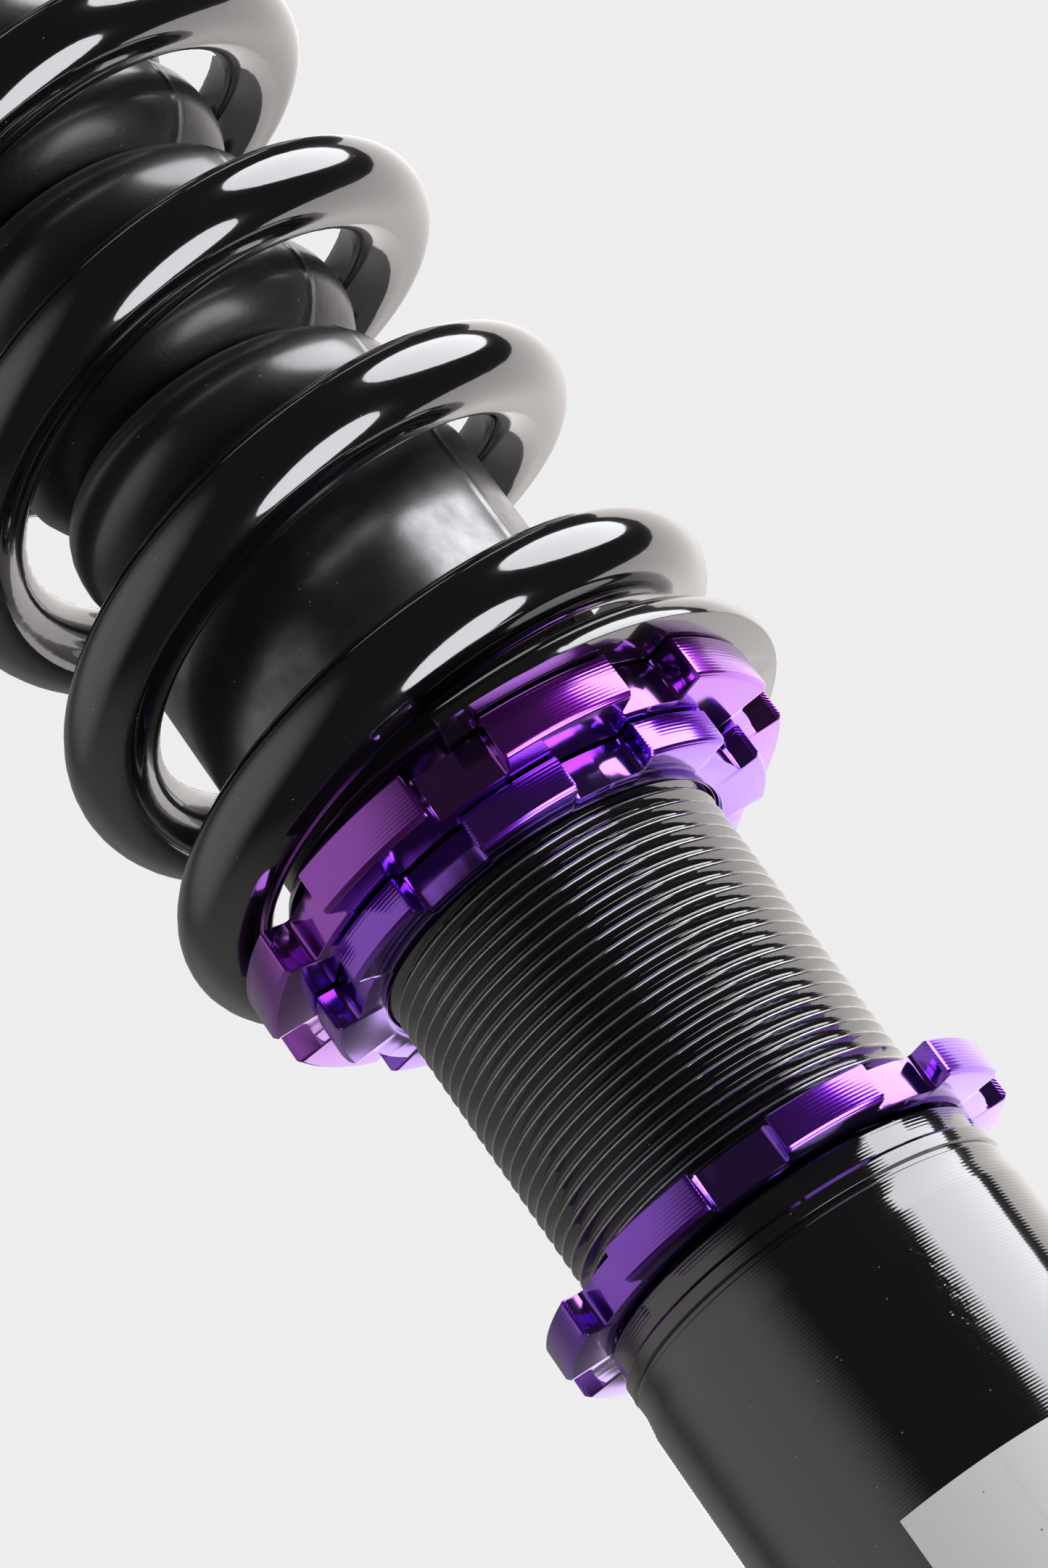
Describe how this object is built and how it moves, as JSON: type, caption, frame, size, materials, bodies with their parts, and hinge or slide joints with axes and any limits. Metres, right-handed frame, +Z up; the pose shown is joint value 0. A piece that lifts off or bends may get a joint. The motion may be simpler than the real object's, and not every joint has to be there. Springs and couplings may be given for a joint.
{
  "type": "coilover suspension strut",
  "caption": "Height-adjustable suspension strut: threaded gas damper in a coil spring, with castellated collars, rubber boot, pillow-ball top mount and knuckle bracket.",
  "frame": {"origin": "on the strut's axis, in the plane of the top mount's upper face, which seats under the strut tower", "axes": "+Z up along the strut's axis towards the top mount, -Y towards the side the picture shows, +Y towards the knuckle ears"},
  "size_m": [0.1076, 0.112, 0.5264],
  "materials": {
    "violet_anodised": "violet anodised, turned",
    "black_anodised": "gloss black anodised",
    "black_bracket": "gloss black, fine turned lines",
    "spring_coat": "gloss black powder coat",
    "zinc_steel": "zinc plated",
    "ground_steel": "ground",
    "hard_chrome": "polished",
    "bronze": "bronze, satin",
    "bare_alloy": "machined",
    "boot_rubber": "satin moulded rubber",
    "seal_rubber": "matt",
    "stop_foam": "cellular polyurethane"
  },
  "bodies": {
    "top_mount": {"top_mount_plate": "black_anodised", "mount_stud_1": "zinc_steel", "mount_stud_2": "zinc_steel", "mount_stud_3": "zinc_steel", "pillow_ball_race": "ground_steel", "race_circlip": "ground_steel"},
    "rod": {"pillow_ball": "hard_chrome", "piston_rod": "hard_chrome", "bearing_sleeve": "ground_steel", "rod_washer": "zinc_steel", "rod_nut": "zinc_steel", "bump_stop_washer": "ground_steel", "thrust_washer_upper": "ground_steel", "bump_stop": "stop_foam", "dust_boot": "boot_rubber", "rebound_bumper": "stop_foam", "top_out_washer": "ground_steel", "compression_shims": "ground_steel", "damper_piston": "bare_alloy", "piston_band": "bronze", "rebound_shims": "ground_steel", "piston_nut": "zinc_steel"},
    "bearing_cage": {"thrust_needle_cage": "bronze"},
    "upper_seat": {"upper_spring_seat": "black_anodised", "thrust_washer_lower": "ground_steel"},
    "knob": {"damping_knob": "violet_anodised", "adjuster_needle": "ground_steel"},
    "cylinder": {"threaded_body": "black_anodised", "body_end_cap": "black_anodised", "gas_valve_plug": "bronze", "rod_guide": "bare_alloy", "guide_bush": "bronze", "rod_seal": "seal_rubber", "seal_circlip": "ground_steel", "rod_wiper": "seal_rubber", "boot_cuff": "boot_rubber"},
    "gas_piston": {"floating_piston": "bare_alloy", "floating_piston_ring": "seal_rubber"},
    "perch": {"spring_perch": "violet_anodised", "main_spring": "spring_coat"},
    "perch_ring": {"perch_lock_ring": "violet_anodised"},
    "bracket_ring": {"bracket_lock_ring": "violet_anodised"},
    "bracket": {"lower_bracket": "black_bracket"}
  },
  "joints": [
    {"name": "ball_tilt", "type": "hinge", "parent": "top_mount", "child": "rod", "pos_m": [0, 0, -0.0091], "axis": [1, 0, 0], "range_deg": [-8, 8]},
    {"name": "seat_swivel", "type": "hinge", "parent": "rod", "child": "upper_seat", "pos_m": [0, 0, -0.0353], "axis": [0, 0, 1], "range_deg": [-45, 45]},
    {"name": "cage_roll", "type": "hinge", "parent": "rod", "child": "bearing_cage", "pos_m": [0, 0, -0.0297], "axis": [0, 0, 1], "range_deg": [-22.5, 22.5]},
    {"name": "knob_turn", "type": "hinge", "parent": "rod", "child": "knob", "pos_m": [0, 0, 0.0248], "axis": [0, 0, 1], "range_deg": [0, 960]},
    {"name": "damper_stroke", "type": "slide", "parent": "rod", "child": "cylinder", "axis": [0, 0, 1], "range_m": [0, 0.09], "stiffness_N_per_m": 99000, "springref_m": -0.01, "deforming": ["main_spring", "dust_boot"]},
    {"name": "gas_piston_travel", "type": "slide", "parent": "cylinder", "child": "gas_piston", "axis": [0, 0, -1], "range_m": [0, 0.0236]},
    {"name": "perch_wind", "type": "slide", "parent": "cylinder", "child": "perch", "axis": [0, 0, 1], "range_m": [-0.015, 0]},
    {"name": "perch_ring_wind", "type": "slide", "parent": "cylinder", "child": "perch_ring", "axis": [0, 0, 1], "range_m": [-0.015, 0]},
    {"name": "bracket_ring_wind", "type": "slide", "parent": "cylinder", "child": "bracket_ring", "axis": [0, 0, 1], "range_m": [0, 0.02]},
    {"name": "bracket_wind", "type": "slide", "parent": "cylinder", "child": "bracket", "axis": [0, 0, 1], "range_m": [-0.03, 0]}
  ],
  "couplings": [
    {"joint": "cage_roll", "follows": "seat_swivel", "ratio": 0.5},
    {"joint": "gas_piston_travel", "follows": "damper_stroke", "ratio": 0.2618},
    {"joint": "perch_ring_wind", "follows": "perch_wind", "ratio": 1}
  ]
}
